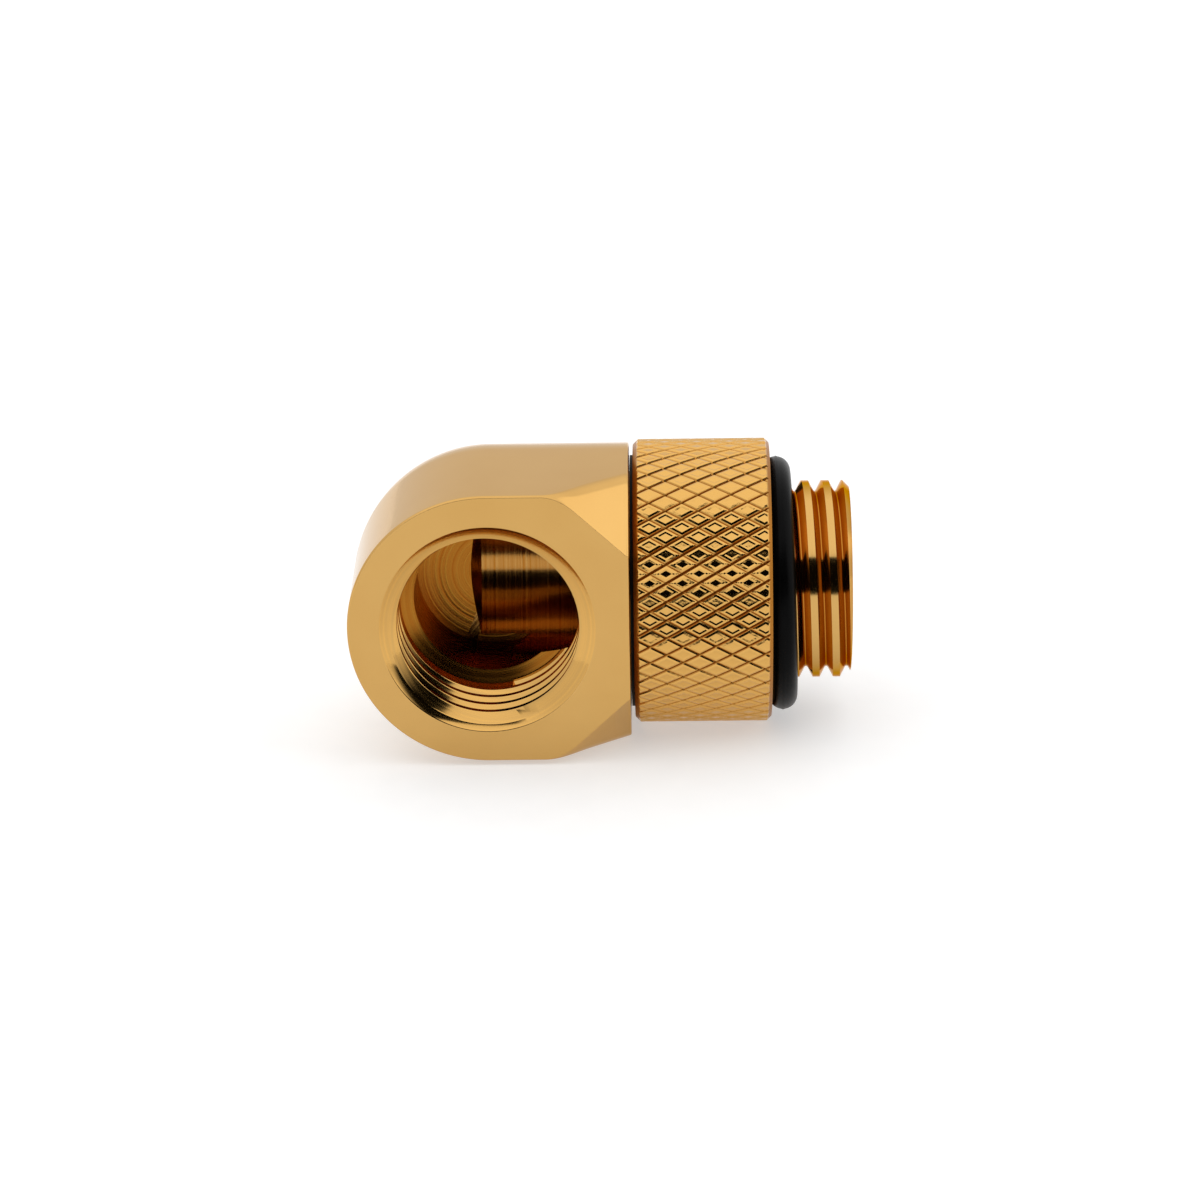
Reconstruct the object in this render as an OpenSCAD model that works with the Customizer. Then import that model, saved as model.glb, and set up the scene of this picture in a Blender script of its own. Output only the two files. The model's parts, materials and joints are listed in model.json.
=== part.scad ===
// Rotary 90-degree water-cooling adapter: an elbow with a female port that swivels on a
// knurled collar with a male thread and a face seal.
// Frame: the origin is the centre of the sealing face, on the swivel axis. +X points along
// the male thread, -Y points out of the female port and +Z is up. Millimetres.

/* [Elbow] */
// Distance from the sealing face to the port axis
port_offset = 18.35; // [18.2:0.05:20]
// Distance from the swivel axis to the flat face around the port
port_face = 9.35; // [9.2:0.05:10.5]
// Diameter of the rounded back and of the rounded port end
elbow_d = 18.3; // [17.8:0.1:18.6]
// Width of each corner facet along the port face, towards the collar
facet_run = 4.5; // [3:0.1:5]
// Drop of each corner facet down the collar end of the port face
facet_drop = 4.15; // [3:0.05:5]
// Reach of each corner facet along the top, from the port face backwards
facet_reach = 3.75; // [3:0.05:5]

/* [Waterway] */
// Diameter of the chamber behind the port thread
chamber_d = 10.1; // [9:0.1:10.8]
// Depth of the chamber floor behind the swivel axis
chamber_floor = 2.1; // [1:0.1:3]
// Diameter of the cross bore and of the spigot's bore
cross_d = 9.8; // [8:0.1:10]
// Diameter of the bore through the male thread
stem_bore_d = 9; // [7:0.1:9.4]

/* [Threads] */
// Pitch of both pipe threads
thread_pitch = 1.337; // [1.3:0.001:1.36]
// Diameter over the male thread's crests
male_d = 13; // [12.9:0.05:13.15]
// Length of the male thread from the sealing face
male_l = 5.25; // [5:0.05:6]
// Diameter inside the female thread's crests
female_d = 11.8; // [11.45:0.05:11.85]
// Depth of both threads
thread_depth = 0.7; // [0.5:0.01:0.8]

/* [Collar] */
// Diameter over the knurl
collar_d = 18.7; // [18.6:0.1:20]
// Length of the swivel base and its knurled collar
collar_l = 8.95; // [8.9:0.05:9.1]
// Gap between the elbow and the swivel base
swivel_gap = 0.25; // [0.2:0.01:0.4]

/* [Swivel] */
// Diameter of the bore that the spigot turns in
cup_d = 14.6; // [14.4:0.1:14.8]
// Radial running clearance of the spigot
running_clearance = 0.05; // [0.03:0.01:0.08]
// Diameter at the bottom of the spigot's ring grooves
groove_d = 12.4; // [12:0.1:12.8]

/* [Seals] */
// Thickness of the face seal's round section
face_seal_t = 1.9; // [1.5:0.1:2]
// Outer diameter of the face seal
face_seal_d = 17; // [16.8:0.1:17.2]

/* [Hidden] */
$fn = 96;

brass = "goldenrod";
rubber = "dimgray";

elbow_r = elbow_d / 2;
port_x = -port_offset;
elbow_end_x = -collar_l - swivel_gap;
elbow_reach = elbow_end_x - port_x;
over = 1;                 // how far a cutting tool runs past what it cuts
press = 0.02;             // interference of the two pressed joints

land = 0.45;              // flat crest left between two thread grooves
groove_w = thread_pitch - land;

// Female port, measured along the port axis from the swivel axis outwards
port_mouth_r = 6.93;
port_lead = 0.72;         // depth of the lead-in cone
port_thread_end = 4.5;    // where the last thread groove ends
tap_drill_end = 3;        // where the tap drill's cone meets the chamber
drill_cone_h = 0.42;
floor_dish = 0.3;
cross_end_past = 0.9;     // how far the cross bore runs past the port axis
cross_end_taper = 0.6;
cross_tip_r = 2.3;

// Spigot, measured along the swivel axis
cup_floor_x = -2;
spigot_end_x = cup_floor_x - 0.15;
spigot_r = cup_d / 2 - running_clearance;
spigot_tail_r = 6;
spigot_tail_l = 2.3;
ring_w = 0.8;
ring_groove_w = 0.9;
ring_groove_x = spigot_end_x - 0.9 - ring_groove_w;
ring_step = 0.45;         // how far the retaining ring reaches into the base
seal_groove_w = 1.6;
seal_w = 1.45;
seal_inner_x = ring_groove_x - 0.5 - seal_groove_w;
seal_outer_x = seal_inner_x - 0.45 - seal_groove_w;

// Base, measured along the swivel axis
sleeve_r = 8.4;           // where the knurled collar is pressed on
seat_depth = 0.35;
seat_r = face_seal_d / 2 + 0.2;
stem_chamfer = 0.35;
first_groove_x = 1.74;    // centre of the male thread's first groove
washer_t = swivel_gap - 0.05;
collar_bevel = 0.35;
end_bevel = 0.3;

// Turns a profile drawn as [radius, position] about the swivel axis
module about_swivel(angle = 360) {
    rotate([0, 90, 0])
        rotate_extrude(angle = angle)
            children();
}

// Turns a profile drawn as [radius, distance towards the mouth] about the port axis
module about_port() {
    translate([port_x, 0, 0])
        rotate([90, 0, 0])
            rotate_extrude()
                children();
}

// Rectangle between two radii and two positions
module band(r1, r2, from, to) {
    translate([r1, from])
        square([r2 - r1, to - from]);
}

// V-shaped thread groove centred at one position, opening from radius r by depth d,
// outwards when d is positive and inwards when it is negative
module thread_groove(r, d, at) {
    side = d > 0 ? -1 : 1;
    root = groove_w / 5;
    polygon([
        [r + side * 0.01, at - groove_w / 2],
        [r + d, at - root / 2],
        [r + d, at + root / 2],
        [r + side * 0.01, at + groove_w / 2]
    ]);
}

// Direction at right angles to the plane through three points
function plane_normal(a, b, c) = cross(b - a, c - a) / norm(cross(b - a, c - a));

// Cuts away everything on the +n side of the plane through a point
module cut_plane(point, n) {
    size = 3 * elbow_d;
    translate(point)
        rotate([0, acos(n[2]), atan2(n[1], n[0])])
            translate([-size / 2, -size / 2, 0])
                cube([size, size, size]);
}

// One corner facet between the port face, the upper flat and the collar end
module corner_facet() {
    a = [elbow_end_x - facet_run, -port_face, elbow_r];
    b = [elbow_end_x, -port_face, elbow_r - facet_drop];
    c = [elbow_end_x, -port_face + facet_reach, elbow_r];
    n = plane_normal(a, b, c);
    cut_plane(a, n[2] > 0 ? n : -n);
}

// Profile of the bullet-shaped back: a quarter circle running into a straight side
module back_profile() {
    intersection() {
        translate([0, port_x])
            circle(r = elbow_r);
        band(0, elbow_r + over, port_x - elbow_r - over, port_x);
    }
    band(0, elbow_r, port_x, elbow_end_x);
}

module elbow_blank() {
    about_swivel(180)
        back_profile();
    translate([port_x, 0, 0])
        rotate([90, 0, 0])
            linear_extrude(port_face)
                union() {
                    circle(r = elbow_r);
                    translate([0, -elbow_r])
                        square([elbow_reach, elbow_d]);
                }
}

// Everything that is bored from the port side
module port_bore() {
    minor_r = female_d / 2;
    lead_start = port_face - port_lead;
    chamber_r = chamber_d / 2;
    about_port()
        polygon([
            [0, -chamber_floor - floor_dish],
            [chamber_r, -chamber_floor],
            [chamber_r, tap_drill_end],
            [minor_r, tap_drill_end + drill_cone_h],
            [minor_r, lead_start],
            [port_mouth_r, port_face],
            [port_mouth_r, port_face + over],
            [0, port_face + over]
        ]);
    for (at = [lead_start - land - groove_w / 2 : -thread_pitch : port_thread_end])
        about_port()
            thread_groove(minor_r, thread_depth, at);
}

// Everything that is bored from the collar side
module cross_bore() {
    cross_r = cross_d / 2;
    end_x = port_x - cross_end_past;
    about_swivel()
        polygon([
            [0, end_x - cross_end_taper],
            [cross_tip_r, end_x - cross_end_taper],
            [cross_r, end_x],
            [cross_r, elbow_end_x - spigot_tail_l],
            [spigot_tail_r, elbow_end_x - spigot_tail_l],
            [spigot_tail_r, elbow_end_x + over],
            [0, elbow_end_x + over]
        ]);
}

module elbow_body() {
    color(brass)
        difference() {
            elbow_blank();
            port_bore();
            cross_bore();
            corner_facet();
            mirror([0, 0, 1])
                corner_facet();
        }
}

// Tube pressed into the elbow; it turns in the base and carries two seals and the ring
module swivel_spigot() {
    bore_r = cross_d / 2;
    groove_r = groove_d / 2;
    color(brass)
        about_swivel()
            difference() {
                union() {
                    band(bore_r, spigot_tail_r + press, elbow_end_x - spigot_tail_l, elbow_end_x);
                    band(bore_r, spigot_r, elbow_end_x, spigot_end_x);
                }
                for (x = [seal_inner_x, seal_outer_x])
                    band(groove_r, spigot_r + over, x, x + seal_groove_w);
                band(groove_r, spigot_r + over, ring_groove_x, ring_groove_x + ring_groove_w);
            }
}

// Squeezed ring seal in a spigot groove that starts at x
module spigot_seal(x) {
    round_r = (spigot_r - groove_d / 2) / 2;
    mid_r = groove_d / 2 + round_r;
    start = x + (seal_groove_w - seal_w) / 2;
    color(rubber)
        about_swivel() {
            translate([mid_r, start + round_r])
                circle(r = round_r);
            translate([mid_r, start + seal_w - round_r])
                circle(r = round_r);
            band(groove_d / 2, spigot_r, start + round_r, start + seal_w - round_r);
        }
}

module spigot_seal_inner() {
    spigot_seal(seal_inner_x);
}

module spigot_seal_outer() {
    spigot_seal(seal_outer_x);
}

// Sprung C-shaped ring that has snapped out into the base's groove
module retaining_ring() {
    outer_r = cup_d / 2 + ring_step - 0.03;
    mid_x = ring_groove_x + ring_groove_w / 2;
    split = 2.5;
    color("silver")
        difference() {
            about_swivel()
                band(outer_r - 1, outer_r, mid_x - ring_w / 2, mid_x + ring_w / 2);
            translate([mid_x - over, -split / 2, 0])
                cube([2 * over, split, outer_r + over]);
        }
}

// Thin plastic ring that keeps the elbow off the base's rim
module slide_washer() {
    color("black")
        about_swivel()
            band(cup_d / 2 + 0.1, sleeve_r - 0.1, -collar_l - washer_t, -collar_l);
}

// Cup with the male thread; its end is the floor of the face seal's seat, and the stem is
// relieved to the bottom of the thread under the seal
module rotary_base() {
    male_r = male_d / 2;
    bore_r = stem_bore_d / 2;
    cup_r = cup_d / 2;
    color(brass)
        about_swivel()
            difference() {
                union() {
                    band(bore_r, sleeve_r, -collar_l, -seat_depth);
                    band(bore_r, male_r, -over, male_l);
                }
                band(bore_r - over, cup_r, -collar_l - over, cup_floor_x);
                band(cup_r - over, cup_r + ring_step, ring_groove_x, ring_groove_x + ring_groove_w);
                band(male_r - thread_depth, male_r + over, -seat_depth, first_groove_x);
                for (at = [first_groove_x : thread_pitch : male_l])
                    thread_groove(male_r, -thread_depth, at);
                polygon([
                    [male_r - stem_chamfer, male_l],
                    [male_r + over, male_l - stem_chamfer - over],
                    [male_r + over, male_l + over]
                ]);
            }
}

// Knurled sleeve pressed onto the base; its end stands around the face seal's seat
module knurled_collar() {
    r = collar_d / 2;
    inner_r = sleeve_r - press;
    color("orange")
        about_swivel()
            polygon([
                [inner_r, -collar_l],
                [r - collar_bevel, -collar_l],
                [r, -collar_l + collar_bevel],
                [r, -end_bevel],
                [r - end_bevel, 0],
                [seat_r, 0],
                [seat_r, -seat_depth],
                [inner_r, -seat_depth]
            ]);
}

// Ring seal that is squeezed against the part that the thread is screwed into
module face_seal() {
    section_r = face_seal_t / 2;
    color(rubber)
        about_swivel()
            translate([face_seal_d / 2 - section_r, section_r - seat_depth])
                circle(r = section_r);
}

elbow_body();
swivel_spigot();
spigot_seal_inner();
spigot_seal_outer();
retaining_ring();
slide_washer();
rotary_base();
knurled_collar();
face_seal();
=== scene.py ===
"""Looks of a gold-plated rotary right-angle pipe adapter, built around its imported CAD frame.

Lengths in the mesh code are millimetres; new_piece() turns them into metres.
Frame: the swivel axis is X, the port axis points along -Y, Z is up, and the origin is the
centre of the sealing face around the male thread.
"""
import json
import math

import bmesh
import bpy
from mathutils import Matrix, Vector


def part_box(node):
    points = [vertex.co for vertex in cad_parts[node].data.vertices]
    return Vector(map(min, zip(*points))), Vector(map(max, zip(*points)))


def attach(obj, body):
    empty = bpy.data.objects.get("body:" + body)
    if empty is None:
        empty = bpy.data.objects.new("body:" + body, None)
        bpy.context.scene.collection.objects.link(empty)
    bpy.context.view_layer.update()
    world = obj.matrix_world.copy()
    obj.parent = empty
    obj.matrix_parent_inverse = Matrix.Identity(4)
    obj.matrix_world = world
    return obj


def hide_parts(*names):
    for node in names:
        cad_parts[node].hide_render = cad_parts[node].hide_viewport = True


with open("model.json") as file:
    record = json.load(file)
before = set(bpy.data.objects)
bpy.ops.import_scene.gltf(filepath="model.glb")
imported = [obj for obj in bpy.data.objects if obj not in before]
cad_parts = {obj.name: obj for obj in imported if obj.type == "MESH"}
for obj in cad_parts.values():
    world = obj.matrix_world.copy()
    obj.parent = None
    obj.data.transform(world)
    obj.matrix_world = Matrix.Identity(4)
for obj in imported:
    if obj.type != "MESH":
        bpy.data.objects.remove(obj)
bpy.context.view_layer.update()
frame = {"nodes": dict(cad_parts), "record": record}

MM = 0.001
MOUNTS = {mount["name"]: mount for mount in frame["record"]["mounts"]}


def box_mm(node):
    """Lowest and highest corners of a CAD node, in millimetres."""
    low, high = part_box(node)
    return low / MM, high / MM


# Sizes that the CAD settles
ELBOW_LOW, ELBOW_HIGH = box_mm("elbow_body")
COLLAR_LOW, COLLAR_HIGH = box_mm("knurled_collar")
BASE_HIGH = box_mm("rotary_base")[1]
SEAL_LOW, SEAL_HIGH = box_mm("face_seal")
SPIGOT_LOW = box_mm("swivel_spigot")[0]
PORT_X = MOUNTS["female_port"]["pos_m"][0] / MM
PORT_FACE = -ELBOW_LOW.y
ELBOW_R = ELBOW_HIGH.z
ELBOW_END = ELBOW_HIGH.x
FEMALE_R = MOUNTS["female_port"]["dims"]["r_mm"]
MALE_R = MOUNTS["male_thread"]["dims"]["r_mm"]
MALE_END = BASE_HIGH.x
COLLAR_R = COLLAR_HIGH.z
COLLAR_START = COLLAR_LOW.x
SPIGOT_TAIL = ELBOW_END - SPIGOT_LOW.x
SEAL_SECTION_R = (SEAL_HIGH.x - SEAL_LOW.x) / 2
SEAL_RING_R = SEAL_HIGH.z - SEAL_SECTION_R
SEAL_X = (SEAL_HIGH.x + SEAL_LOW.x) / 2
FLOOR_Z = -COLLAR_R

# Bores and hidden fits, as in the CAD
CHAMBER_R = 5.05
CHAMBER_FLOOR = 2.1
FLOOR_DISH = 0.3
TAP_DRILL_END = 3.0
DRILL_CONE = 0.42
CROSS_R = 4.9
CROSS_PAST = 0.9
CROSS_TAPER = 0.6
CROSS_TIP_R = 2.3
SPIGOT_TAIL_R = 6.0
STEM_BORE_R = 4.5
CUP_R = 7.3
CUP_FLOOR = -2.0
SLEEVE_R = 8.4
RING_GROOVE = (-3.95, -3.05, 7.75)
SEAT_DEPTH = 0.35
SEAT_R = 8.7

# How far a cutter runs past what it cuts
OVERRUN = 1.0

# Threads
PITCH = 1.337
THREAD_DEPTH = 0.7
FLANK = math.tan(math.radians(27.5))  # how far a flank leans per millimetre of depth
ROOT_HALF = 0.07            # half the width of a groove's bottom
MOUTH_R = 6.93              # lead-in cone, at the port face
MOUTH_DEPTH = 0.67
PORT_THREAD_DEEPEST = 3.76  # from the swivel axis to the inner end of the port's thread
PORT_THREAD_TURN = 283.5    # degrees about the port axis where that end is
PORT_CREST_FLARE = 0.05     # depth over which the port's crests are narrowed
MALE_ROOT_AT_TOP = 1.742    # where the male groove crosses the top of the stem
MALE_RELIEF_END = 1.2       # end of the relief under the face seal

# Corner facets and edge roundings of the elbow
FACET_RUN = 4.5      # along the port face's edge, from the collar end
FACET_DROP = 4.15    # down the port face, at the collar end
FACET_REACH = 3.75   # back over the flat, at the collar end
FACET_BLEND = 1.15   # half the length over which a facet fades out
EDGE_R = 0.16        # between face and flat, where there is no facet
FACE_EDGE_R = 0.04   # around the port face
FRONT_DROP = 0.12    # how far the flats slope in towards the port face
SOFT_EDGE_R = 2.2    # between a facet and its flat, where the facet is wide
END_BEVEL = 0.14     # at the collar end
BEVEL_STEPS = 3

# Knurl: u counts the broad grooves of one hand and v the fine ones of the other. The
# halves and samples are shares of the distance from one groove to the next.
KNURL_COUNT = 48         # grooves of each hand around the collar
KNURL_PERIOD = 2.12      # from one groove to the next, along the collar
BROAD_FLANK, BROAD_CUT = 0.085, 0.085
FINE_FLANK, FINE_CUT = 0.065, 0.045
RIM_HALF = 0.22          # from a groove's middle to the raised rim beside it
FLAT_HALF = 0.32         # from a groove's middle to the flat inside the diamond
CUT_HALF = 0.09
KNURL_DIP = 0.035        # how far the flats lie below the rims
KNURL_SAMPLES = (0.0, 0.09, 0.155, 0.22, 0.32, 0.5, 0.68, 0.78, 0.845, 0.91)
KNURL_SHIFT = -0.25      # of the pattern, along the collar
KNURL_TURN = 0.0133      # of the pattern, in radians
KNURL_SHADE_DEPTH = 0.13  # where the painted shade in the grooves is deepest


# ---------------------------------------------------------------- mesh tools

def new_piece(name, points, faces, weld=1e-4):
    """Mesh object from points in millimetres, welded, with its faces turned outwards."""
    mesh = bpy.data.meshes.new(name)
    scaled = [tuple(float(c) * MM for c in point) for point in points]
    mesh.from_pydata(scaled, [], [tuple(face) for face in faces])
    work = bmesh.new()
    work.from_mesh(mesh)
    bmesh.ops.remove_doubles(work, verts=work.verts, dist=weld * MM)
    bmesh.ops.recalc_face_normals(work, faces=work.faces)
    work.to_mesh(mesh)
    work.free()
    piece = bpy.data.objects.new(name, mesh)
    bpy.context.scene.collection.objects.link(piece)
    return piece


def apply_modifiers(piece):
    """Turns the piece's modifiers into plain mesh."""
    graph = bpy.context.evaluated_depsgraph_get()
    graph.update()
    baked = bpy.data.meshes.new_from_object(piece.evaluated_get(graph))
    piece.modifiers.clear()
    old = piece.data
    piece.data = baked
    bpy.data.meshes.remove(old)


def boolean(piece, tool, operation):
    """Cuts the piece with a tool, or keeps what they share, and deletes the tool."""
    cut = piece.modifiers.new("cut", "BOOLEAN")
    cut.operation = operation
    cut.solver = "MANIFOLD"
    cut.object = tool
    apply_modifiers(piece)
    bpy.data.objects.remove(tool)


def shade(piece, angle=32.0):
    """Smooth shading that stops at edges sharper than angle and keeps flat faces flat."""
    piece.data.shade_smooth()
    piece.data.set_sharp_from_angle(angle=math.radians(angle))
    weighted = piece.modifiers.new("weighted_normals", "WEIGHTED_NORMAL")
    weighted.mode = "FACE_AREA"
    weighted.weight = 90
    weighted.keep_sharp = True
    apply_modifiers(piece)


def paint(piece, *materials):
    """Gives a piece these materials and no others."""
    piece.data.materials.clear()
    for material in materials:
        piece.data.materials.append(material)


def about_swivel(radius, along, turn):
    """Point at an angle about the swivel axis; the angle grows by the right-hand rule."""
    return (along, radius * math.cos(turn), radius * math.sin(turn))


def about_port(radius, along, turn):
    """Point at an angle about the port axis, which points out of the mouth."""
    return (PORT_X + radius * math.cos(turn), -along, radius * math.sin(turn))


def lathe(name, profile, about, steps=256):
    """Closed solid turned about an axis from a closed profile of (radius, position) corners."""
    count = len(profile)
    points = []
    for step in range(steps):
        turn = 2 * math.pi * step / steps
        points += [about(radius, along, turn) for radius, along in profile]
    faces = []
    for i in range(count):
        j = (i + 1) % count
        if profile[i][0] == 0 and profile[j][0] == 0:
            continue
        for step in range(steps):
            here = step * count
            there = (step + 1) % steps * count
            faces.append((here + i, here + j, there + j, there + i))
    return new_piece(name, points, faces)


def helix_bar(name, section, about, start, turns, first_turn, steps_per_turn=128):
    """Bar swept along a right-handed helix about an axis; its section has (radius, offset)
    corners."""
    total = int(turns * steps_per_turn)
    count = len(section)
    points = []
    for step in range(total + 1):
        angle = 2 * math.pi * step / steps_per_turn
        along = start + PITCH * step / steps_per_turn
        points += [about(r, along + offset, first_turn + angle) for r, offset in section]
    faces = []
    for step in range(total):
        here = step * count
        for i in range(count):
            j = (i + 1) % count
            faces.append((here + i, here + j, here + count + j, here + count + i))
    faces.append(tuple(range(count)))
    faces.append(tuple(range(total * count, (total + 1) * count)))
    return new_piece(name, points, faces)


# ---------------------------------------------------------------- elbow

FACET_NORMAL = Vector((-FACET_DROP, FACET_REACH)).normalized()
FACET_ANGLE = math.atan2(FACET_NORMAL.y, FACET_NORMAL.x)
FACET_SINK = FACET_NORMAL.y * FACET_DROP / FACET_RUN
FACET_LINE = Vector((FACET_NORMAL.y, -FACET_NORMAL.x))


def facet_ramp(x):
    """How far into the facet a station is, easing in over FACET_BLEND on each side."""
    t = x - (ELBOW_END - FACET_RUN)
    if t <= -FACET_BLEND:
        return 0.0
    if t >= FACET_BLEND:
        return t
    return (t + FACET_BLEND) ** 2 / (4 * FACET_BLEND)


def arc_points(centre, radius, first, last, steps):
    """(y, r, normal angle) along an arc."""
    points = []
    for i in range(steps + 1):
        a = first + (last - first) * i / steps
        points.append((centre.x + radius * math.cos(a), centre.y + radius * math.sin(a), a))
    return points


def side_section(x):
    """Half outline of the elbow across the swivel axis, as (y, r, normal angle): from the
    port face's edge over the facet and the flat, and round the back to the rear line."""
    edge_steps, soft_steps, flat_steps, back_steps = 4, 12, 6, 64
    least_facet = 0.01  # left of the facet all along the outline
    soft_share = 0.8    # of the facet's length that its soft edge may take
    front_r = ELBOW_R - FRONT_DROP
    inner = Vector((-PORT_FACE + EDGE_R, front_r - EDGE_R))
    reach = FACET_NORMAL.dot(inner) + EDGE_R - least_facet - FACET_SINK * facet_ramp(x)

    def corner_at_face(radius):
        y = -PORT_FACE + radius
        return Vector((y, (reach - radius - FACET_NORMAL.x * y) / FACET_NORMAL.y))

    def corner_at_top(radius):
        r = front_r - radius
        return Vector(((reach - radius - FACET_NORMAL.y * r) / FACET_NORMAL.x, r))

    facet_length = (corner_at_top(EDGE_R) - corner_at_face(EDGE_R)).dot(FACET_LINE)
    half_corner = (FACET_ANGLE - math.pi / 2) / 2
    room = soft_share * max(facet_length, 0.0) / math.tan(half_corner)
    spare = SOFT_EDGE_R - EDGE_R
    soft = EDGE_R + spare * math.tanh(room / spare)
    face_edge = corner_at_face(FACE_EDGE_R)
    section = arc_points(face_edge, FACE_EDGE_R, math.pi, FACET_ANGLE, edge_steps)
    section += arc_points(corner_at_top(soft), soft, FACET_ANGLE, math.pi / 2, soft_steps)
    flat_start = section[-1][0]
    for i in range(1, flat_steps):
        share = i / flat_steps
        section.append((flat_start * (1 - share), front_r + FRONT_DROP * share, math.pi / 2))
    section += arc_points(Vector((0, 0)), ELBOW_R, math.pi / 2, 0, back_steps)
    return section


def elbow_stations():
    """Path of the half outline: along the top, round the port axis and back underneath.
    Each station is (x or None at the end bevel, direction about the port axis, bevel angle)."""
    spacing = 0.12
    steps_round = 144
    run = ELBOW_END - END_BEVEL - PORT_X
    count = int(run / spacing)
    up, down = math.pi / 2, -math.pi / 2
    top = [(None, up, up * i / BEVEL_STEPS) for i in range(BEVEL_STEPS, 0, -1)]
    top += [(PORT_X + run * i / count, up, 0.0) for i in range(count, -1, -1)]
    around = [(PORT_X, up + math.pi * i / steps_round, 0.0) for i in range(1, steps_round)]
    bottom = [(x, down, bevel) for x, _, bevel in reversed(top)]
    return top + around + bottom


def station_points(x, direction, bevel):
    """Points of the half outline at one station."""
    at = ELBOW_END - END_BEVEL if x is None else x
    inset = END_BEVEL * (1 - math.cos(bevel))
    shift = END_BEVEL * math.sin(bevel)
    points = []
    for y, r, normal in side_section(at):
        y -= inset * math.cos(normal)
        r -= inset * math.sin(normal)
        points.append((at + shift + r * math.cos(direction), y, r * math.sin(direction)))
    return points


def elbow_blank():
    """The elbow before boring: the half outline swept round its path, closed at the port
    face and at the collar end."""
    rows = [station_points(*station) for station in elbow_stations()]
    count = len(rows[0])
    last = (len(rows) - 1) * count
    points = [point for row in rows for point in row]
    faces = []
    for i in range(len(rows) - 1):
        for j in range(count - 1):
            a = i * count + j
            faces.append((a, a + 1, a + count + 1, a + count))
    for i in range(BEVEL_STEPS):
        top, under = i * count, last - i * count
        faces.append((top, top + count, under - count, under))
    faces.append([i * count for i in range(BEVEL_STEPS, len(rows) - BEVEL_STEPS)])
    faces.append(list(range(count)) + [last + j for j in range(count - 2, -1, -1)])
    return new_piece("elbow_body_gold", points, faces)


def port_tool():
    """Lead-in cone with a rounded rim, tap drill and chamber, as one turned cutter."""
    rim = 0.08
    profile = [
        (0, -CHAMBER_FLOOR - FLOOR_DISH),
        (CHAMBER_R, -CHAMBER_FLOOR),
        (CHAMBER_R, TAP_DRILL_END),
        (FEMALE_R, TAP_DRILL_END + DRILL_CONE),
        (FEMALE_R, PORT_FACE - MOUTH_DEPTH),
        (MOUTH_R, PORT_FACE - rim * 0.6),
        (MOUTH_R + rim * 0.3, PORT_FACE - rim * 0.25),
        (MOUTH_R + rim, PORT_FACE),
        (MOUTH_R + rim, PORT_FACE + OVERRUN),
        (0, PORT_FACE + OVERRUN),
    ]
    return lathe("port_tool", profile, about_port, 320)


def cross_tool():
    """Cross bore with the spigot's seat, as one turned cutter."""
    end = PORT_X - CROSS_PAST
    profile = [
        (0, end - CROSS_TAPER),
        (CROSS_TIP_R, end - CROSS_TAPER),
        (CROSS_R, end),
        (CROSS_R, ELBOW_END - SPIGOT_TAIL),
        (SPIGOT_TAIL_R, ELBOW_END - SPIGOT_TAIL),
        (SPIGOT_TAIL_R, ELBOW_END + OVERRUN),
        (0, ELBOW_END + OVERRUN),
    ]
    return lathe("cross_tool", profile, about_swivel, 256)


def thread_section(crest_r, side, reach, flare=0.0):
    """Section of a thread groove cut outwards (side 1) or inwards (side -1) from the
    crests; reach is how far the cutter stands clear of them. Above the flare's depth the
    flanks lean out at 45 degrees, which narrows the crests."""
    root = crest_r + side * THREAD_DEPTH
    flat = ROOT_HALF * 0.5
    soft = ROOT_HALF * 0.9
    half = [
        (root, flat),
        (root - side * soft, ROOT_HALF + soft * FLANK),
    ]
    if flare > 0:
        kink = ROOT_HALF + (THREAD_DEPTH - flare) * FLANK
        half.append((crest_r + side * flare, kink))
        half.append((crest_r - side * reach, kink + flare + reach))
    else:
        half.append((crest_r - side * reach, ROOT_HALF + (THREAD_DEPTH + reach) * FLANK))
    return [(r, -offset) for r, offset in reversed(half)] + half


def bore_of(centre):
    """Which material a point of the elbow's surface takes: 0 outside, 1 in the chamber,
    2 in the cross bore, 3 in the port's thread and mouth."""
    near = 0.01  # of a plane
    cross_slack, seat_slack, mouth_slack = 0.03, 0.05, 0.02  # of a round wall
    x, y, z = centre / MM
    if x > ELBOW_END - near or y < -PORT_FACE + near:
        return 0
    cross_r = math.hypot(y, z)
    port_r = math.hypot(x - PORT_X, z)
    if cross_r < CROSS_R + cross_slack and x > PORT_X - CROSS_PAST - CROSS_TAPER - near:
        return 2
    if cross_r < SPIGOT_TAIL_R + seat_slack and x > ELBOW_END - SPIGOT_TAIL - near:
        return 2
    if port_r < MOUTH_R + mouth_slack and y < CHAMBER_FLOOR + FLOOR_DISH + near:
        return 3 if y < -TAP_DRILL_END - DRILL_CONE else 1
    return 0


def make_elbow():
    """Elbow with its bores, the port's helical thread and a material for each bore."""
    turns_past_face = 0.6
    reach = 0.15
    piece = elbow_blank()
    boolean(piece, port_tool(), "DIFFERENCE")
    boolean(piece, cross_tool(), "DIFFERENCE")
    turns = (PORT_FACE - PORT_THREAD_DEEPEST) / PITCH + turns_past_face
    section = thread_section(FEMALE_R, 1, reach, PORT_CREST_FLARE)
    groove = helix_bar("port_thread", section, about_port, PORT_THREAD_DEEPEST, turns,
                       math.radians(PORT_THREAD_TURN))
    boolean(piece, groove, "DIFFERENCE")
    shade(piece)
    paint(piece, gold_plate(), chamber_gold(), cross_bore_gold(), mouth_gold())
    for face in piece.data.polygons:
        face.material_index = bore_of(face.center)
    return piece


# ---------------------------------------------------------------- base, collar and seal

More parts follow.
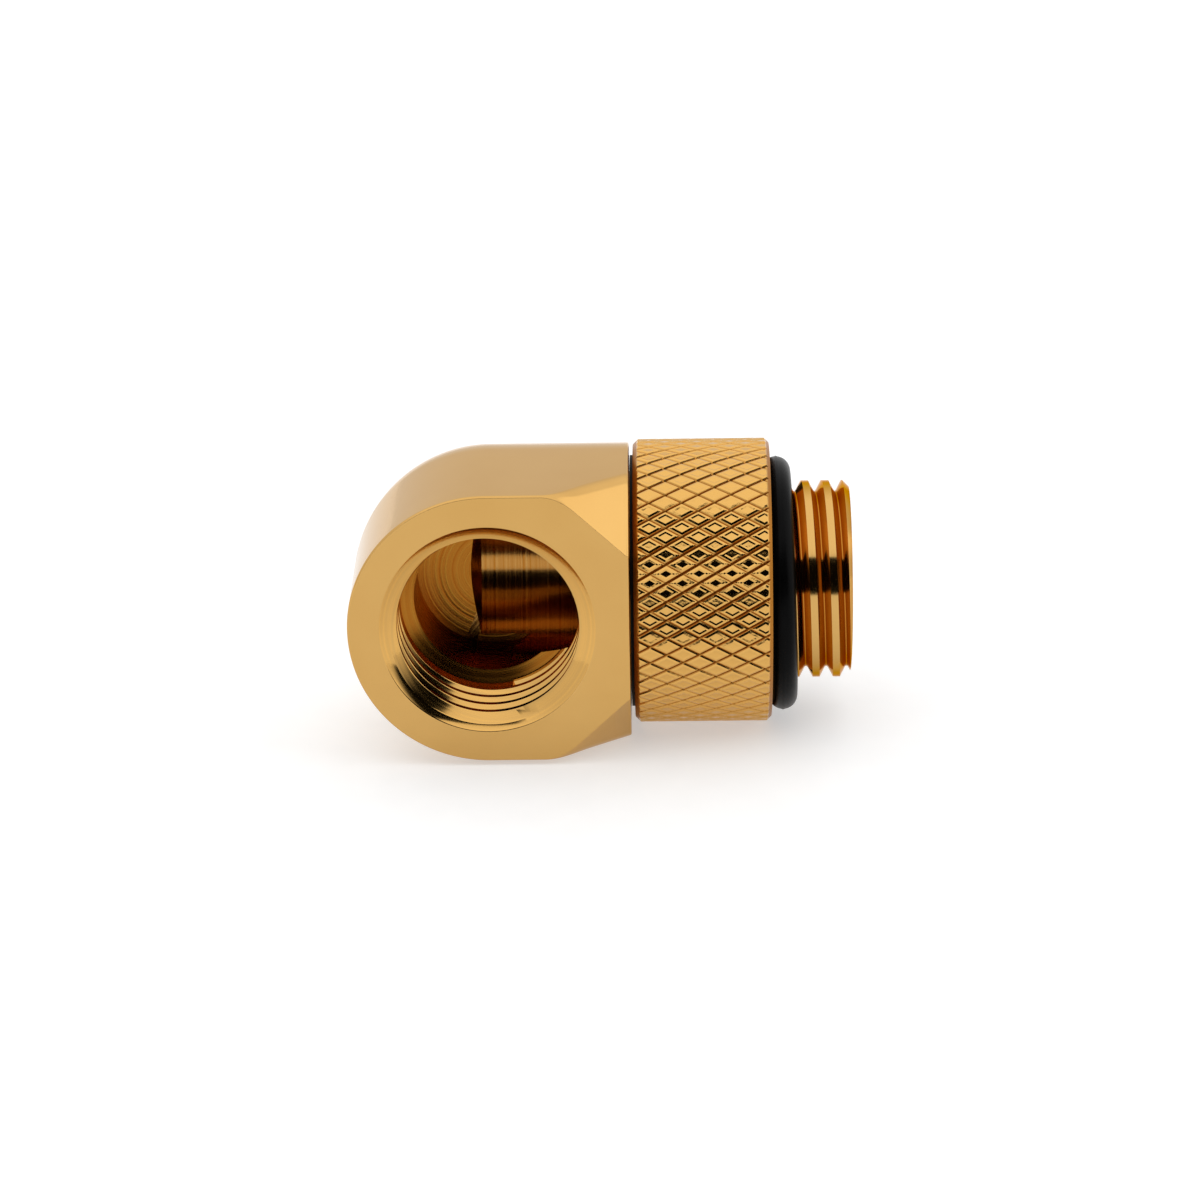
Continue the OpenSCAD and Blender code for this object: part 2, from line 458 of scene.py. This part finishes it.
def make_base():
    """Cup and stem with the helical male thread."""
    chamfer = 0.4
    rim = 0.25
    turns = 4
    reach = 0.4
    relief_r = MALE_R - THREAD_DEPTH
    ring_from, ring_to, ring_r = RING_GROOVE
    profile = [
        (CUP_R, COLLAR_START),
        (SLEEVE_R, COLLAR_START),
        (SLEEVE_R, -SEAT_DEPTH),
        (relief_r, -SEAT_DEPTH),
        (relief_r, MALE_RELIEF_END - THREAD_DEPTH * FLANK),
        (MALE_R, MALE_RELIEF_END),
        (MALE_R, MALE_END - chamfer),
        (MALE_R - chamfer, MALE_END),
        (STEM_BORE_R + rim, MALE_END),
        (STEM_BORE_R, MALE_END - rim),
        (STEM_BORE_R, CUP_FLOOR),
        (CUP_R, CUP_FLOOR),
        (CUP_R, ring_to),
        (ring_r, ring_to),
        (ring_r, ring_from),
        (CUP_R, ring_from),
    ]
    piece = lathe("rotary_base_gold", profile, about_swivel, 320)
    groove = helix_bar("male_groove", thread_section(MALE_R, -1, reach), about_swivel,
                       MALE_ROOT_AT_TOP - PITCH / 2, turns, -math.pi / 2)
    boolean(piece, groove, "DIFFERENCE")
    shade(piece)
    paint(piece, gold_thread())
    return piece


def groove_depth(distance, flank, cut):
    """Depth at a distance from the middle of a groove: shallow flanks up to the raised rims
    and, between them, the narrow cut of the knurling wheel's edge."""
    shallow = flank * max(0.0, 1 - distance / RIM_HALF)
    return shallow + cut * max(0.0, 1 - distance / CUT_HALF)


def knurl_depth(u, v):
    """Depth below the rims where u and v count grooves of the two hands. The flat inside
    each diamond's rim is the turned surface that the wheel has left."""
    to_broad = abs(u - round(u))
    to_fine = abs(v - round(v))
    broad = groove_depth(to_broad, BROAD_FLANK, BROAD_CUT)
    fine = groove_depth(to_fine, FINE_FLANK, FINE_CUT)
    inwards = (min(to_broad, to_fine) - RIM_HALF) / (FLAT_HALF - RIM_HALF)
    return max(broad, fine) + KNURL_DIP * min(1.0, max(0.0, inwards))


def knurl_bar():
    """Tube with a diamond lattice outside, on a grid that follows both hands of grooves."""
    spare_length = 1.2  # cut off again by the sleeve's ends
    per_cell = len(KNURL_SAMPLES)
    around = KNURL_COUNT * per_cell
    cells = math.ceil(2 * (spare_length - COLLAR_START) / KNURL_PERIOD)
    length = KNURL_PERIOD * cells / 2
    start = COLLAR_START / 2 - length / 2 + KNURL_SHIFT
    across = cells * per_cell
    inner_r = SLEEVE_R - OVERRUN

    def groove_count(i):
        """Grooves passed at the grid's line i, in whole cells and the sample inside one."""
        return i // per_cell + KNURL_SAMPLES[i % per_cell]

    points = []
    for k in range(around):
        v = groove_count(k)
        for m in range(across + 1):
            u = groove_count(k + m)
            turn = math.pi * (u + v) / KNURL_COUNT + KNURL_TURN
            along = start + KNURL_PERIOD * (u - v) / 2
            points.append(about_swivel(COLLAR_R - knurl_depth(u, v), along, turn))
    columns = across + 1
    faces = []
    for k in range(around):
        here, there = k * columns, (k + 1) % around * columns
        faces.append((here, here + 1, there))
        for m in range(1, across):
            faces.append((here + m, here + m + 1, there + m, there + m - 1))
        faces.append((here + across, there + across, there + across - 1))
    outside = len(points)
    for k in range(around):
        turn = 2 * math.pi * groove_count(k) / KNURL_COUNT + KNURL_TURN
        points.append(about_swivel(inner_r, start, turn))
        points.append(about_swivel(inner_r, start + length, turn + math.pi * cells / KNURL_COUNT))
    for k in range(around):
        here, there = k * columns, (k + 1) % around * columns
        inner, inner_next = outside + 2 * k, outside + 2 * ((k + 1) % around)
        faces.append((here, there, inner_next, inner))
        faces.append((here + across, inner + 1, inner_next + 1, there + across))
        faces.append((inner, inner_next, inner_next + 1, inner + 1))
    return new_piece("knurled_collar_gold", points, faces)


def make_collar():
    """Knurled sleeve: the lattice bar, kept only inside the chamfered sleeve."""
    left, right = 0.35, 0.3
    clear = 0.05  # between the sleeve's outside and the knurl's rims
    press = 0.02  # interference with the base
    outer = COLLAR_R + clear
    inner = SLEEVE_R - press
    profile = [
        (inner, COLLAR_START),
        (outer - left - clear, COLLAR_START),
        (outer, COLLAR_START + left + clear),
        (outer, -right - clear),
        (outer - right - clear, 0),
        (SEAT_R, 0),
        (SEAT_R, -SEAT_DEPTH),
        (inner, -SEAT_DEPTH),
    ]
    piece = knurl_bar()
    boolean(piece, lathe("sleeve", profile, about_swivel, 320), "INTERSECT")
    shade(piece, 10)
    paint(piece, gold_knurl())
    return piece


def make_seal():
    """Face seal with a moulding seam around it. It leans so that its top is seated deeper,
    hangs a little low, and is slightly smaller and further out than the CAD's."""
    steps, ring_steps = 48, 256
    tilt, sag, tight, shift = 0.17, 0.26, 0.14, 0.03
    seam_height, seam_half = 0.04, 0.06
    points = []
    for ring in range(ring_steps):
        turn = 2 * math.pi * ring / ring_steps
        centre = SEAL_X + shift - tilt * math.sin(turn)
        for step in range(steps):
            a = 2 * math.pi * step / steps
            off_equator = abs(math.remainder(a, 2 * math.pi)) * SEAL_SECTION_R
            bulge = seam_height * max(0.0, 1 - off_equator / seam_half)
            radius = SEAL_RING_R - tight + (SEAL_SECTION_R + bulge) * math.cos(a)
            along = centre + SEAL_SECTION_R * math.sin(a)
            x, y, z = about_swivel(radius, max(along, -SEAT_DEPTH), turn)
            points.append((x, y, z - sag))
    faces = []
    for ring in range(ring_steps):
        here, there = ring * steps, (ring + 1) % ring_steps * steps
        for i in range(steps):
            j = (i + 1) % steps
            faces.append((here + i, here + j, there + j, there + i))
    piece = new_piece("face_seal_rubber", points, faces, weld=0)
    shade(piece, 50)
    paint(piece, seal_rubber())
    return piece


# ---------------------------------------------------------------- materials

class Nodes:
    """A node tree with short ways to add the nodes that the materials and the world share."""

    def __init__(self, tree):
        self.tree = tree

    def new(self, kind):
        return self.tree.nodes.new(kind)

    def link(self, value, socket):
        """Joins an output to a socket, or sets the socket to a plain number."""
        if isinstance(value, (int, float)):
            socket.default_value = value
        else:
            self.tree.links.new(value, socket)

    def math(self, operation, first, second=0.0):
        node = self.new("ShaderNodeMath")
        node.operation = operation
        self.link(first, node.inputs[0])
        self.link(second, node.inputs[1])
        return node.outputs[0]

    def split(self, vector):
        """The three coordinates of a vector."""
        node = self.new("ShaderNodeSeparateXYZ")
        self.link(vector, node.inputs[0])
        return node.outputs


class Surface(Nodes):
    """A material with one Principled shader."""

    def __init__(self, name):
        self.material = bpy.data.materials.new(name)
        self.material.use_nodes = True
        super().__init__(self.material.node_tree)
        self.shader = self.tree.nodes["Principled BSDF"]
        self.point = self.new("ShaderNodeTexCoord").outputs["Object"]

    def noise(self, size_mm, detail=3.0, along=None):
        """Noise of that feature size, in 3-D or along one coordinate."""
        node = self.new("ShaderNodeTexNoise")
        node.inputs["Scale"].default_value = 1 / (size_mm * MM)
        node.inputs["Detail"].default_value = detail
        if along is None:
            self.link(self.point, node.inputs["Vector"])
        else:
            node.noise_dimensions = "1D"
            self.link(along, node.inputs["W"])
        return node.outputs["Fac"]

    def spread(self, value, low, high, start=0.3, end=0.7):
        """Maps start..end of a value onto low..high."""
        node = self.new("ShaderNodeMapRange")
        node.inputs["From Min"].default_value = start
        node.inputs["From Max"].default_value = end
        node.inputs["To Min"].default_value = low
        node.inputs["To Max"].default_value = high
        self.link(value, node.inputs["Value"])
        return node.outputs["Result"]

    def blend(self, share, first, second):
        """Colour between two others."""
        node = self.new("ShaderNodeMix")
        node.data_type = "RGBA"
        self.link(share, node.inputs[0])
        node.inputs[6].default_value = (*first, 1)
        node.inputs[7].default_value = (*second, 1)
        return node.outputs[2]

    def bump(self, height, depth_mm):
        node = self.new("ShaderNodeBump")
        node.inputs["Distance"].default_value = depth_mm * MM
        node.inputs["Strength"].default_value = 1.0
        self.link(height, node.inputs["Height"])
        self.link(node.outputs["Normal"], self.shader.inputs["Normal"])

    def tint_grazing(self, colour):
        """Colours what the metal reflects at grazing angles."""
        self.shader.inputs["Specular Tint"].default_value = (*colour, 1)

    def around(self, axis):
        """Distance from the swivel or port axis plus distance along it, in metres, so that
        lines of equal value are the marks that turning leaves on walls and floors."""
        x, y, z = self.split(self.point)
        if axis == "swivel":
            return self.math("ADD", x, self.length(y, z))
        return self.math("ADD", y, self.length(self.math("SUBTRACT", x, PORT_X * MM), z))

    def length(self, first, second):
        squares = [self.math("MULTIPLY", value, value) for value in (first, second)]
        return self.math("SQRT", self.math("ADD", *squares))

    def radius(self):
        """Distance from the swivel axis, in metres."""
        return self.length(*self.split(self.point)[1:])

    def finish(self, colour, roughness, metallic=1.0):
        self.shader.inputs["Metallic"].default_value = metallic
        self.link(roughness, self.shader.inputs["Roughness"])
        self.link(colour, self.shader.inputs["Base Color"])
        return self.material


GOLD = (0.61, 0.362, 0.115)
GOLD_WORN = (0.585, 0.34, 0.104)
# painted shade at the roots of the male thread
THREAD_ROOT_SHADE = (0.44, 0.175, 0.024)
# painted shade at the bottom of the knurl's grooves
KNURL_GROOVE_SHADE = (0.38, 0.15, 0.02)
GOLD_POLISHED = (0.68, 0.385, 0.105)
# darker colours for the walls inside the adapter: painted shade in the bores
SHADED_BORE_LIGHT = (0.44, 0.19, 0.025)
SHADED_BORE_DARK = (0.30, 0.09, 0.008)
SHADED_REAMED_LIGHT = (0.50, 0.26, 0.07)
SHADED_REAMED_DARK = (0.36, 0.14, 0.02)
CUT_TINT = (0.80, 0.50, 0.22)
PLATE_TINT = (0.92, 0.88, 0.82)


def gold_plate():
    """Polished plating over a finely ground face, with faint clouds."""
    s = Surface("gold_plate")
    clouds = s.noise(5.0, 2.0)
    grain = s.noise(0.35, 4.0)
    s.bump(grain, 0.0006)
    s.tint_grazing(PLATE_TINT)
    return s.finish(s.blend(s.spread(clouds, 0, 1), GOLD_WORN, GOLD), s.spread(grain, 0.085, 0.13))


def turned_gold(name, axis, light, dark, ring_mm, depth_mm, roughness):
    """Plating over turned walls: rings around the bore's own axis."""
    s = Surface(name)
    rings = s.noise(ring_mm, 4.0, s.around(axis))
    s.bump(rings, depth_mm)
    s.tint_grazing(CUT_TINT)
    return s.finish(s.blend(s.spread(rings, 0, 1), dark, light), s.spread(rings, *roughness))


def chamber_gold():
    """Coarsely turned chamber behind the port's thread, in darker colours than the outside: painted
    shade.
    """
    return turned_gold("chamber_gold", "port", SHADED_BORE_LIGHT, SHADED_BORE_DARK, 0.22, 0.012, (0.18, 0.3))


def cross_bore_gold():
    """Reamed cross bore, in darker colours than the outside: painted shade."""
    return turned_gold("cross_bore_gold", "swivel", SHADED_REAMED_LIGHT, SHADED_REAMED_DARK, 0.2, 0.009, (0.12, 0.2))


def mouth_gold():
    """Port thread and its lead-in cone."""
    return turned_gold("mouth_gold", "port", GOLD_POLISHED, GOLD_WORN, 0.1, 0.0015, (0.08, 0.14))


def gold_thread():
    """Plating over a cut thread, with painted shade that darkens it towards the roots."""
    s = Surface("gold_thread")
    rings = s.noise(0.09, 3.0, s.around("swivel"))
    height = s.spread(s.radius(), 0, 1, (MALE_R - THREAD_DEPTH) * MM, MALE_R * MM)
    s.bump(rings, 0.002)
    s.tint_grazing(CUT_TINT)
    # painted shade: the colour darkens from the crests down to the roots
    return s.finish(s.blend(height, THREAD_ROOT_SHADE, GOLD), s.spread(rings, 0.08, 0.14))


def gold_knurl():
    """Plating over the knurl, with painted shade that darkens it towards the bottom of the grooves,
    where it is also duller.
    """
    s = Surface("gold_knurl")
    bottom, top = (COLLAR_R - KNURL_SHADE_DEPTH) * MM, (COLLAR_R - KNURL_DIP) * MM
    height = s.spread(s.radius(), 0, 1, bottom, top)
    s.bump(s.noise(0.3, 4.0), 0.012)
    # painted shade: the colour darkens from the rims down into the grooves
    return s.finish(s.blend(height, KNURL_GROOVE_SHADE, GOLD_POLISHED), s.spread(height, 0.36, 0.1, 0, 1))


def turned_brass():
    """Turned brass of the spigot, in the chamber's darker colours: painted shade."""
    s = Surface("turned_brass")
    rings = s.noise(0.1, 3.0, s.around("swivel"))
    s.bump(rings, 0.003)
    return s.finish(s.blend(s.spread(rings, 0, 1), SHADED_BORE_DARK, SHADED_BORE_LIGHT), s.spread(rings, 0.25, 0.4))


def seal_rubber():
    """Satin moulded rubber."""
    s = Surface("seal_rubber")
    grain = s.noise(0.08, 4.0)
    s.bump(grain, 0.004)
    s.shader.inputs["Specular IOR Level"].default_value = 0.05
    colour = s.blend(s.spread(s.noise(1.5), 0, 1), (0.0008, 0.0008, 0.0008), (0.002, 0.002, 0.002))
    return s.finish(colour, s.spread(grain, 0.26, 0.36), 0.0)


def black_ptfe():
    """Matt black plastic of the slide washer."""
    s = Surface("black_ptfe")
    grain = s.noise(0.15, 3.0)
    s.bump(grain, 0.003)
    s.shader.inputs["Specular IOR Level"].default_value = 0.2
    colour = s.blend(s.spread(grain, 0, 1), (0.003, 0.003, 0.003), (0.007, 0.007, 0.007))
    return s.finish(colour, s.spread(grain, 0.5, 0.65), 0.0)


def spring_steel():
    """Blanked steel of the retaining ring, brushed around."""
    s = Surface("spring_steel")
    rings = s.noise(0.05, 2.0, s.around("swivel"))
    s.bump(rings, 0.002)
    colour = s.blend(s.spread(rings, 0, 1), (0.42, 0.42, 0.43), (0.6, 0.6, 0.61))
    return s.finish(colour, s.spread(rings, 0.25, 0.4))


def pale_floor():
    """Matt white acrylic of a light table, faintly lit from below."""
    s = Surface("pale_floor")
    s.shader.inputs["Emission Color"].default_value = (1, 1, 1, 1)
    s.shader.inputs["Emission Strength"].default_value = 0.45
    grain = s.noise(2.0, 3.0)
    colour = s.blend(s.spread(grain, 0, 1), (0.60, 0.60, 0.60), (0.63, 0.63, 0.63))
    return s.finish(colour, 0.7, 0.0)


# ---------------------------------------------------------------- studio

def make_floor():
    """Wide pale board that the adapter lies on."""
    half = 3000
    steps = 12
    points = []
    for i in range(steps + 1):
        for j in range(steps + 1):
            points.append((half * (2 * i / steps - 1), half * (2 * j / steps - 1), FLOOR_Z))
    faces = []
    for i in range(steps):
        for j in range(steps):
            a = i * (steps + 1) + j
            faces.append((a, a + steps + 1, a + steps + 2, a + 1))
    floor = new_piece("studio_floor", points, faces)
    floor.data.materials.append(pale_floor())


def make_world():
    """Even white surroundings with a dark opening behind the camera and a bright panel to
    the right. Angles are degrees above the horizon, and degrees from -Y towards +X."""
    walls, ceiling, dark, bright = 1.2, 1.6, 0.004, 1.95
    low, high, left, right, edge, soft = 0.5, 44.0, -28.0, 60.0, 1.0, 6.0
    panel_low, panel_high, panel_near, panel_far, panel_soft = 12.0, 58.0, 66.0, 112.0, 6.0
    dome_from, dome_to = 25.0, 60.0
    world = bpy.data.worlds.new("studio")
    bpy.context.scene.world = world
    world.use_nodes = True
    world.node_tree.nodes.clear()
    n = Nodes(world.node_tree)

    def ramp(value, start, end):
        """Smooth step of an angle between two others, in degrees."""
        node = n.new("ShaderNodeMapRange")
        node.interpolation_type = "SMOOTHSTEP"
        node.inputs["From Min"].default_value = math.radians(start)
        node.inputs["From Max"].default_value = math.radians(end)
        n.link(value, node.inputs["Value"])
        return node.outputs["Result"]

    def between(value, start, end, blur):
        """1 from start to end, 0 outside, blurred by that many degrees on each side."""
        past_start = ramp(value, start - blur, start + blur)
        past_end = ramp(value, end - blur, end + blur)
        return n.math("SUBTRACT", past_start, past_end)

    def mixed(share, first, second):
        """Number between two others."""
        mix = n.new("ShaderNodeMix")
        n.link(share, mix.inputs[0])
        n.link(first, mix.inputs[2])
        n.link(second, mix.inputs[3])
        return mix.outputs[0]

    x, y, z = n.split(n.new("ShaderNodeTexCoord").outputs["Generated"])
    elevation = n.math("ARCSINE", z)
    azimuth = n.math("ARCTAN2", x, n.math("MULTIPLY", y, -1.0))
    opening = n.math("MULTIPLY", between(elevation, low, high, edge),
                     between(azimuth, left, right, soft))
    panel = n.math("MULTIPLY", between(elevation, panel_low, panel_high, panel_soft),
                   between(azimuth, panel_near, panel_far, panel_soft))
    dome = mixed(ramp(elevation, dome_from, dome_to), walls, ceiling)
    surroundings = n.new("ShaderNodeBackground")
    n.link(mixed(opening, mixed(panel, dome, bright), dark), surroundings.inputs["Strength"])
    backdrop = n.new("ShaderNodeBackground")
    choose = n.new("ShaderNodeMixShader")
    n.link(n.new("ShaderNodeLightPath").outputs["Is Camera Ray"], choose.inputs[0])
    n.link(surroundings.outputs[0], choose.inputs[1])
    n.link(backdrop.outputs[0], choose.inputs[2])
    n.link(choose.outputs[0], n.new("ShaderNodeOutputWorld").inputs["Surface"])


def make_camera():
    """Long lens, slightly above the adapter and square to its port face."""
    distance = 286.48
    focal_length, sensor_width = 129.9, 36
    elevation, azimuth, roll = (math.radians(a) for a in (19.642, 0.9696, 0.9576))
    aim = Vector((-11.23, -0.48, -1.18))
    ahead = Vector((
        -math.sin(azimuth) * math.cos(elevation),
        math.cos(azimuth) * math.cos(elevation),
        -math.sin(elevation),
    ))
    right = Vector((math.cos(azimuth), math.sin(azimuth), 0))
    up = right.cross(ahead)
    side = right * math.cos(roll) - up * math.sin(roll)
    top = right * math.sin(roll) + up * math.cos(roll)
    lens = bpy.data.cameras.new("camera")
    lens.lens = focal_length
    lens.sensor_width = sensor_width
    lens.clip_start = 0.01
    camera = bpy.data.objects.new("camera", lens)
    turn = Matrix((side, top, -ahead)).transposed()
    camera.matrix_world = Matrix.Translation((aim - ahead * distance) * MM) @ turn.to_4x4()
    bpy.context.scene.collection.objects.link(camera)
    bpy.context.scene.camera = camera


# ---------------------------------------------------------------- assembly

def install(piece, body, slot, *nodes):
    """Fixes a piece to its body in place of the CAD nodes it stands for."""
    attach(piece, body)
    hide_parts(*nodes)


install(make_elbow(), "elbow", "gold_plate", "elbow_body")
install(make_base(), "base", "gold_thread", "rotary_base")
install(make_collar(), "base", "gold_knurl", "knurled_collar")
install(make_seal(), "base", "seal_rubber", "face_seal")

# CAD nodes that stay visible as they are
paint(frame["nodes"]["swivel_spigot"], turned_brass())
paint(frame["nodes"]["spigot_seal_inner"], seal_rubber())
paint(frame["nodes"]["spigot_seal_outer"], seal_rubber())
paint(frame["nodes"]["slide_washer"], black_ptfe())
paint(frame["nodes"]["retaining_ring"], spring_steel())

make_floor()
make_world()
make_camera()
bpy.context.scene.view_settings.view_transform = "Standard"
